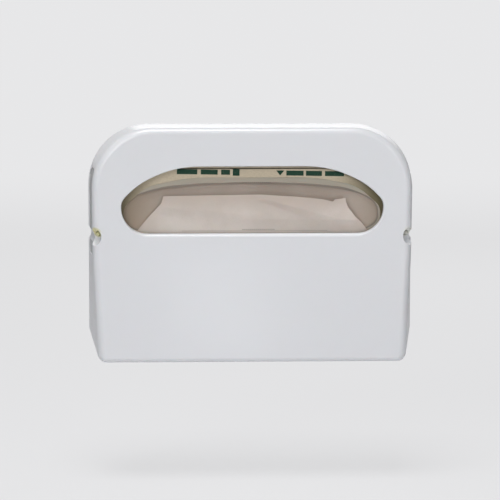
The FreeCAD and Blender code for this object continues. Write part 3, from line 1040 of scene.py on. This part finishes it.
@dataclass
class RefillCarton:
    """The card carton of the refill, with its top flap and its glued end flaps."""

    edge: float = 0.25 * MM
    card: float = 0.8 * MM
    flap_rise: float = 1.7 * MM
    flap_inset: float = 22.0 * MM
    end_flap_share: float = 0.68
    end_flap_card: float = 0.5 * MM
    end_flap_gap: float = 1.2 * MM
    end_flap_taper: float = 5.0 * MM
    finish: PrintedCard = PrintedCard(
        "printed_card", (0.58, 0.50, 0.375, 1.0), (0.50, 0.427, 0.315, 1.0), (0.010, 0.045, 0.026, 1.0),
        row_height=85.6 * MM, row_tilt=math.radians(0.9), letter_half=3.1 * MM,
        bars=((-80.4 * MM, 12.6 * MM), (-53.1 * MM, 10.5 * MM), (-32.9 * MM, 5.5 * MM),
              (52.9 * MM, 10.7 * MM), (76.4 * MM, 9.9 * MM), (101.9 * MM, 11.8 * MM)),
        square=(-19.8 * MM, 4.2 * MM), triangle=(34.6 * MM, 5.0 * MM, 6.3 * MM), front=-70.7 * MM)

    def build(self, effects: SharedEffects) -> list[Piece]:
        """Builds and dresses the carton.

        Args:
            effects: The shared node groups.

        Returns:
            The carton as one piece.
        """
        carton = refined_copy("refill_carton", "refill_carton_card", self.edge)
        join_all(carton, [self._top_flap(), self._end_flap(-1.0), self._end_flap(1.0)])
        dress(carton, self.finish.material(effects))
        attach(carton, Body.HOUSING.value)
        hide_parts("refill_carton")
        return [carton]

    @staticmethod
    def _flap(name: str, size: Place, place: Place, rounding: float,
              trim: Callable[[Vector], None]) -> Piece:
        """Makes one flat flap with softened edges.

        Args:
            name: The flap's name.
            size: Its width, depth and height before it is trimmed.
            place: The place of its middle.
            rounding: Width of its softened edges.
            trim: Moves a corner, given its place.

        Returns:
            The flap.
        """
        bpy.ops.mesh.primitive_cube_add(size=1.0)
        flap = bpy.context.active_object
        flap.name = name
        flap.scale = size
        flap.location = place
        settle(flap)
        for vertex in flap.data.vertices:
            trim(vertex.co)
        edit_all(flap, lambda: bpy.ops.mesh.bevel(offset=rounding, segments=2, affect="EDGES"))
        smooth(flap, SHARP_ANGLE)
        return flap

    def _end_flap(self, side: float) -> Piece:
        """Makes the glued flap on one end, folded back from the front.

        Args:
            side: The left end (-1) or the right one (1).

        Returns:
            The flap.
        """
        low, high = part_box("refill_carton")
        deep = (high.y - low.y) * self.end_flap_share
        middle = (low + high) / 2.0

        def trim(corner: Vector) -> None:
            """Narrows the flap towards the back."""
            if corner.y > low.y + deep / 2.0:
                corner.z -= math.copysign(self.end_flap_taper, corner.z - middle.z)

        size = (2.0 * self.end_flap_card, deep, high.z - low.z - 2.0 * self.end_flap_gap)
        place = (side * high.x, low.y + self.edge + deep / 2.0, middle.z)
        return self._flap("end_flap", size, place, self.edge / 2.0, trim)

    def _top_flap(self) -> Piece:
        """Makes the tucked edge of the top flap, which stands a little above the front.

        Returns:
            The flap.
        """
        low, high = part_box("refill_carton")

        def trim(corner: Vector) -> None:
            """Narrows the flap towards its top."""
            if corner.z > high.z:
                corner.x -= math.copysign(self.flap_rise, corner.x)

        size = (2.0 * (high.x - self.flap_inset), self.card, 2.0 * self.flap_rise)
        return self._flap("top_flap", size, (0.0, low.y + self.card / 2.0, high.z), self.edge, trim)


@dataclass(frozen=True)
class Ripple:
    """A soft unevenness of paper, from smooth noise."""

    height: float
    across: float
    up: float
    layer: float

    def at(self, x: float, z: float) -> float:
        """How far the paper is moved at a place."""
        return self.height * noise.noise(Vector((x * self.across, z * self.up, self.layer)))


@dataclass(frozen=True)
class Fold:
    """A soft fold in paper: the sheet steps forward on the left side of a line.

    The step is wider at the line's end, where a spread is given. It fades in about the
    line's start, between two shares of its length.
    """

    start: Span
    end: Span
    width: float
    height: float
    spread: float = 0.0
    fade: Span = (-0.25, 0.05)

    def height_at(self, x: float, z: float) -> float:
        """Reads the fold at a place.

        Args:
            x: The place across.
            z: The place's height.

        Returns:
            How far the fold moves the sheet forward.
        """
        run = Vector(self.end) - Vector(self.start)
        offset = Vector((x, z)) - Vector(self.start)
        side = (run.x * offset.y - run.y * offset.x) / run.length
        along = offset.dot(run) / run.length_squared
        width = self.width + self.spread * share_between(along, 0.0, 1.0)
        return self.height * eased(side, -width, 0.0) * share_between(along, *self.fade)


@dataclass
class PaperPack:
    """The folded covers: the waiting stack, and the first one with its tongue."""

    stack_rounding: float = 2.0 * MM
    stack_rounding_segments: int = 3
    stack_cuts: int = 24
    stack_angle: float = 60.0
    stack_gap: float = 0.25 * MM
    stack_ripple: Ripple = Ripple(0.25 * MM, 30.0, 45.0, 3.0)
    end_fall: float = 1.6 * MM
    end_power: int = 4
    roll_low: float = 58.0 * MM
    roll_high: float = 71.0 * MM
    roll_depth: float = 3.0 * MM
    front: float = -69.6 * MM
    sheet_thickness: float = 0.22 * MM
    sheet_gap: float = 0.12 * MM
    sheet_angle: float = 50.0
    sheet_ripple: Ripple = Ripple(0.12 * MM, 25.0, 40.0, 9.0)
    ring_steps: int = 6
    cut_left: float = 160.0 * MM
    cut_right: float = 154.5 * MM
    cut_low: float = 6.0 * MM
    cut_middle: float = 36.0 * MM
    cut_high: float = 72.2 * MM
    cut_lift: float = 0.5 * MM
    cut_power: float = 2.5
    cut_low_power: float = 3.0
    cut_points: int = 180
    tongue_thickness: float = 0.25 * MM
    tongue_root: float = 1.1 * MM
    tongue_columns: int = 150
    tongue_rows: int = 48
    top_power: int = 6
    root_height: float = 11.0 * MM
    left_edge: tuple[Span, ...] = (
        (11.0 * MM, -144.2 * MM), (20.0 * MM, -137.2 * MM), (36.6 * MM, -123.1 * MM),
        (47.2 * MM, -113.8 * MM), (56.8 * MM, -110.2 * MM))
    right_edge: tuple[Span, ...] = (
        (11.0 * MM, 145.0 * MM), (23.3 * MM, 136.3 * MM), (32.0 * MM, 127.7 * MM),
        (44.2 * MM, 119.1 * MM), (54.5 * MM, 115.2 * MM))
    top_edge: tuple[Span, ...] = (
        (-110.2 * MM, 57.0 * MM), (-47.9 * MM, 58.2 * MM), (10.2 * MM, 59.0 * MM),
        (55.0 * MM, 56.4 * MM), (85.6 * MM, 53.2 * MM), (99.8 * MM, 49.8 * MM),
        (101.6 * MM, 52.8 * MM), (115.2 * MM, 54.5 * MM))
    full_height: float = 59.0 * MM
    lift: float = 4.6 * MM
    least_lift: float = 0.05 * MM
    bulge_half: float = 150.0 * MM
    bulge_power: float = 1.6
    bulge_limit: float = 1.1
    bulge_side_power: float = 2.2
    bulge_at_sides: float = 0.3
    fold_speed: float = 3.0
    ripple_speed: float = 2.0
    soft_ripple: Ripple = Ripple(0.8 * MM, 22.0, 30.0, 1.0)
    fine_ripple: Ripple = Ripple(0.14 * MM, 80.0, 120.0, 5.0)
    folds: tuple[Fold, ...] = (
        Fold((30.0 * MM, 50.0 * MM), (133.0 * MM, 24.0 * MM), 7.0 * MM, 3.2 * MM, 18.0 * MM),
        Fold((-118.0 * MM, 46.0 * MM), (20.0 * MM, 34.0 * MM), 14.0 * MM, 2.0 * MM, 6.0 * MM),
        Fold((-60.0 * MM, 30.0 * MM), (60.0 * MM, 22.0 * MM), 14.0 * MM, 0.7 * MM),
    )
    # The stack's tissue is a darker copy of the sheet's tissue: painted shade.
    stack_finish: Tissue = Tissue(
        "shaded_stack_tissue", (0.45, 0.38, 0.328, 1.0), (0.39, 0.325, 0.272, 1.0),
        (0.325, 0.262, 0.20, 1.0), layered=True)
    # The sheet's ends, tongue top, flat part and cut rim carry painted shade.
    sheet_finish: Tissue = Tissue(
        "sheet_tissue", (0.67, 0.572, 0.523, 1.0), (0.56, 0.474, 0.425, 1.0),
        (0.49, 0.41, 0.355, 1.0), flat_shade_colour=(0.45, 0.395, 0.327, 1.0),
        perforations=((-13.0 * MM, 24.0 * MM, 73.2 * MM), (-13.0 * MM, 28.0 * MM, 15.0 * MM)),
        crease=(3.0 * MM, 13.4 * MM, 90.0 * MM, 0.4 * MM), top_shade=(34.0 * MM, 58.0 * MM, 0.75))

    def build(self, effects: SharedEffects) -> list[Piece]:
        """Builds and dresses the paper.

        Args:
            effects: The shared node groups.

        Returns:
            The stack and the first cover.
        """
        stack = self._stack()
        dress(stack, self.stack_finish.material(effects))
        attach(stack, Body.HOUSING.value)
        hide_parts("seat_cover_stack")

        first = self._first_cover()
        dress(first, self.sheet_finish.material(effects))
        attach(first, Body.HOUSING.value)
        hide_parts("first_seat_cover")
        return [stack, first]

    def _stack(self) -> Piece:
        """Makes the waiting covers: a soft block whose front falls back towards its ends.

        Returns:
            The stack.
        """
        low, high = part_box("seat_cover_stack")
        middle = (low + high) / 2.0
        bpy.ops.mesh.primitive_cube_add(size=1.0, location=middle)
        stack = bpy.context.active_object
        stack.name = "waiting_seat_covers"
        stack.scale = high - low
        settle(stack)
        edit_all(
            stack,
            lambda: bpy.ops.mesh.bevel(
                offset=self.stack_rounding, segments=self.stack_rounding_segments, affect="EDGES"),
            lambda: bpy.ops.mesh.subdivide(number_cuts=self.stack_cuts, smoothness=0.0),
        )
        for vertex in stack.data.vertices:
            co = vertex.co
            forward = max(0.0, (middle.y - co.y) / (middle.y - low.y))
            drop = self.stack_gap + self.end_fall * (abs(co.x) / high.x) ** self.end_power
            drop += self.roll_depth * eased(co.z, self.roll_low, self.roll_high)
            co.y += forward * (drop + self.stack_ripple.at(co.x, co.z))
        smooth(stack, self.stack_angle)
        return stack

    def _first_cover(self) -> Piece:
        """Makes the first cover: its flat sheet with the cut, and the tongue.

        Returns:
            The cover as one piece.
        """
        sheet = self._cut_sheet()
        join_all(sheet, [self._tongue()])
        sheet.name = "first_seat_cover_tissue"
        smooth(sheet, self.sheet_angle)
        return sheet

    def _cut_point(self, angle: float) -> Vector:
        """Finds a point of the die cut in the flat sheet.

        Args:
            angle: The point's angle about the cut's middle.

        Returns:
            The point.
        """
        across, up = math.cos(angle), math.sin(angle)
        half = self.cut_right if across > 0.0 else self.cut_left
        tall = self.cut_high - self.cut_middle if up > 0.0 else self.cut_middle - self.cut_low
        power = 2.0 / (self.cut_power if up > 0.0 else self.cut_low_power)
        x = half * math.copysign(abs(across) ** power, across)
        z = self.cut_middle + tall * math.copysign(abs(up) ** power, up)
        return Vector((x, 0.0, z))

    def _cut_sheet(self) -> Piece:
        """Makes the flat sheet: a ring from the die cut out to the sheet's own edge.

        Returns:
            The sheet.
        """
        low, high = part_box("seat_cover_stack")
        bpy.ops.mesh.primitive_circle_add(vertices=self.cut_points, radius=1.0)
        sheet = bpy.context.active_object
        sheet.name = "cut_sheet"
        for vertex in sheet.data.vertices:
            vertex.co = self._cut_point(math.atan2(vertex.co.y, vertex.co.x))
        edit_all(sheet, bpy.ops.mesh.extrude_edges_move)
        # The depth counts the ring's steps for now, so that only the cut's edge is lifted below.
        for vertex in sheet.data.vertices[:self.cut_points]:
            vertex.co.y = -self.cut_lift * self.ring_steps
        centre = Vector((0.0, 0.0, self.cut_middle))
        for vertex in sheet.data.vertices[self.cut_points:]:
            way = vertex.co - centre
            reach_x = high.x / abs(way.x) if way.x else math.inf
            end_z = high.z if way.z > 0.0 else low.z
            reach_z = abs(end_z - centre.z) / abs(way.z) if way.z else math.inf
            vertex.co = centre + way * min(reach_x, reach_z)
        edit_all(
            sheet,
            lambda: bpy.ops.mesh.subdivide(number_cuts=self.ring_steps - 1),
            lambda: bpy.ops.mesh.normals_make_consistent(inside=False),
        )
        for vertex in sheet.data.vertices:
            co = vertex.co
            lift = max(-co.y - self.cut_lift * (self.ring_steps - 1), 0.0)
            co.y = self.front - self.sheet_gap - abs(self.sheet_ripple.at(co.x, co.z)) - lift
        apply_modifier(sheet, "SOLIDIFY", thickness=self.sheet_thickness, offset=0.0)
        return sheet

    @staticmethod
    def _along(table: Sequence[Span], at: float) -> float:
        """Reads a value from a table of points, in a straight line between them.

        Args:
            table: The points, each with where it lies and its value.
            at: Where the value is read.

        Returns:
            The value.
        """
        for (a, value_a), (b, value_b) in zip(table, table[1:]):
            if at <= b:
                return value_a + share_between(at, a, b) * (value_b - value_a)
        return table[-1][1]

    def _forward(self, x: float, z: float) -> float:
        """Works out how far the tongue stands forward of the sheet.

        Args:
            x: The place across.
            z: The place's height.

        Returns:
            The distance.
        """
        rise = max(0.0, (z - self.root_height) / (self.full_height - self.root_height))
        across = max(0.0, 1.0 - (abs(x) / self.bulge_half) ** self.bulge_side_power)
        bulge = self.bulge_at_sides + (1.0 - self.bulge_at_sides) * across
        out = self.lift * min(rise, self.bulge_limit) ** self.bulge_power * bulge
        for fold in self.folds:
            out += fold.height_at(x, z) * min(1.0, rise * self.fold_speed)
        ripple = self.soft_ripple.at(x, z) + self.fine_ripple.at(x, z)
        return max(self.least_lift, out + ripple * min(1.0, rise * self.ripple_speed))

    def _tongue(self) -> Piece:
        """Makes the tongue of tissue that stands forward from its lower edge.

        Returns:
            The tongue.
        """
        bpy.ops.mesh.primitive_grid_add(
            x_subdivisions=self.tongue_columns, y_subdivisions=self.tongue_rows, size=2.0)
        tongue = bpy.context.active_object
        tongue.name = "tongue"
        for vertex in tongue.data.vertices:
            across, up = (vertex.co.x + 1.0) / 2.0, (vertex.co.y + 1.0) / 2.0
            top_x = self.top_edge[0][0] + across * (self.top_edge[-1][0] - self.top_edge[0][0])
            top_z = self._along(self.top_edge, top_x)
            z = self.root_height + up * (top_z - self.root_height)
            side_z = self.root_height + up * (self.left_edge[-1][0] - self.root_height)
            left = self._along(self.left_edge, side_z)
            right = self._along(self.right_edge, side_z)
            x = left + across * (right - left)
            x += (top_x - x) * up ** self.top_power
            vertex.co = Vector((x, self.front - self.tongue_root - self._forward(x, z), z))
        edit_all(tongue, lambda: bpy.ops.mesh.normals_make_consistent(inside=False))
        apply_modifier(tongue, "SOLIDIFY", thickness=self.tongue_thickness, offset=0.0)
        return tongue


# Camera and studio


def point_at(item: Piece, place: Place, aim: Place) -> None:
    """Adds a camera or a lamp to the scene and turns it towards a point.

    Args:
        item: The camera or lamp.
        place: Where it stands.
        aim: The point that it looks at.
    """
    bpy.context.scene.collection.objects.link(item)
    item.location = place
    way = Vector(aim) - Vector(place)
    item.rotation_euler = way.to_track_quat("-Z", "Y").to_euler()


@dataclass
class PhotoCamera:
    """The camera at the photograph's viewing angle."""

    place: Place = (-0.144, -3.083, 0.318)
    aim: Place = (-0.0333, -0.083, -0.0091)
    lens: float = 176.3
    sensor: float = 36.0
    shift_x: float = 0.0488
    near: float = 0.05

    def build(self) -> Piece:
        """Makes the scene's camera.

        Returns:
            The camera object.
        """
        data = bpy.data.cameras.new("photo_camera")
        data.lens = self.lens
        data.sensor_width = self.sensor
        data.shift_x = self.shift_x
        data.clip_start = self.near
        camera = bpy.data.objects.new("photo_camera", data)
        point_at(camera, self.place, self.aim)
        bpy.context.scene.camera = camera
        return camera


@dataclass(frozen=True)
class SoftLamp:
    """A square area lamp that points at the dispenser."""

    name: str
    place: Place
    size: float
    power: float
    aim: Place = (0.0, -0.05, 0.0)

    def build(self) -> Piece:
        """Makes the lamp.

        Returns:
            The lamp object.
        """
        data = bpy.data.lights.new(self.name, "AREA")
        data.size = self.size
        data.energy = self.power
        lamp = bpy.data.objects.new(self.name, data)
        point_at(lamp, self.place, self.aim)
        return lamp


@dataclass
class Studio:
    """A pale floor, a pale surround and soft lamps."""

    floor_height: float = -0.300
    floor_size: float = 400.0
    floor_colour: Colour = (0.80, 0.80, 0.81, 1.0)
    surround: Colour = (0.80, 0.80, 0.81, 1.0)
    mirror_share: float = 0.85
    plain_share: float = 0.8
    plain_from: float = 1.0
    plain_to: float = 5.0
    ambient: float = 0.20
    lamps: tuple[SoftLamp, ...] = (
        SoftLamp("key", (-2.1, -4.3, 1.9), 2.0, 66.0),
        SoftLamp("right_fill", (1.8, -5.0, 0.5), 1.6, 42.0),
        SoftLamp("overhead", (-0.35, -1.0, 3.0), 1.5, 68.0),
        SoftLamp("low_fill", (0.0, -1.2, -0.22), 0.16, 0.4, aim=(0.0, -0.05, -0.1)),
        SoftLamp("back_fill", (0.4, 2.2, 1.2), 1.6, 12.0),
    )

    def build(self) -> None:
        """Makes the floor, the world and the lamps."""
        bpy.ops.mesh.primitive_plane_add(size=self.floor_size, location=(0.0, 0.0, self.floor_height))
        floor = bpy.context.active_object
        floor.name = "studio_floor"
        dress(floor, self._floor_finish())
        for lamp in self.lamps:
            lamp.build()
        self._light_surround()
        bpy.context.scene.view_settings.view_transform = "Standard"

    def _floor_finish(self) -> bpy.types.Material:
        """Makes a matt floor that fades into the surround and is clear from below.

        Returns:
            The material.
        """
        material = bpy.data.materials.new("floor")
        material.use_nodes = True
        nodes = NodeTree(material.node_tree)
        rays = nodes.add("ShaderNodeLightPath")
        away = nodes.add("ShaderNodeVectorMath", {0: nodes.place()}, operation="LENGTH")
        plainer = nodes.ramp(away.outputs["Value"], self.plain_from, self.plain_to,
                             bottom=self.plain_share, soft=True)
        matt = nodes.add("ShaderNodeBsdfDiffuse", {"Color": self.floor_colour})
        plain = nodes.add("ShaderNodeEmission", {"Color": self.surround})
        share = nodes.product(rays.outputs["Is Camera Ray"], plainer)
        mixed = nodes.add("ShaderNodeMixShader", {0: share, 1: matt.outputs[0], 2: plain.outputs[0]})
        below = nodes.add("ShaderNodeNewGeometry").outputs["Backfacing"]
        clear = nodes.add("ShaderNodeBsdfTransparent")
        whole = nodes.add("ShaderNodeMixShader", {0: below, 1: mixed.outputs[0], 2: clear.outputs[0]})
        nodes.add("ShaderNodeOutputMaterial", {0: whole.outputs[0]})
        return material

    def _light_surround(self) -> None:
        """Makes a world that is pale to the eye and lights the object gently."""
        world = bpy.data.worlds.new("surround")
        world.use_nodes = True
        bpy.context.scene.world = world
        nodes = NodeTree(world.node_tree)
        rays = nodes.add("ShaderNodeLightPath")
        mirrored = nodes.product(rays.outputs["Is Glossy Ray"], self.mirror_share)
        seen = nodes.math("MAXIMUM", rays.outputs["Is Camera Ray"], mirrored)
        seen = nodes.math("MAXIMUM", seen, rays.outputs["Is Transmission Ray"])
        strength = nodes.ramp(seen, bottom=self.ambient)
        sky = nodes.add("ShaderNodeBackground", {"Color": self.surround, "Strength": strength})
        nodes.add("ShaderNodeOutputWorld", {0: sky.outputs[0]})


def main() -> None:
    """Loads the frame, builds every piece around it and sets up the studio."""
    logging.basicConfig(level=logging.INFO, format="%(name)s: %(message)s")
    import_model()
    PhotoCamera().build()
    effects = SharedEffects()
    for assembly in (Mouldings(), RefillCarton(), PaperPack()):
        for piece in assembly.build(effects):
            log.info("%s: %d faces", piece.name, len(piece.data.polygons))
    Studio().build()


if __name__ == "__main__":
    main()
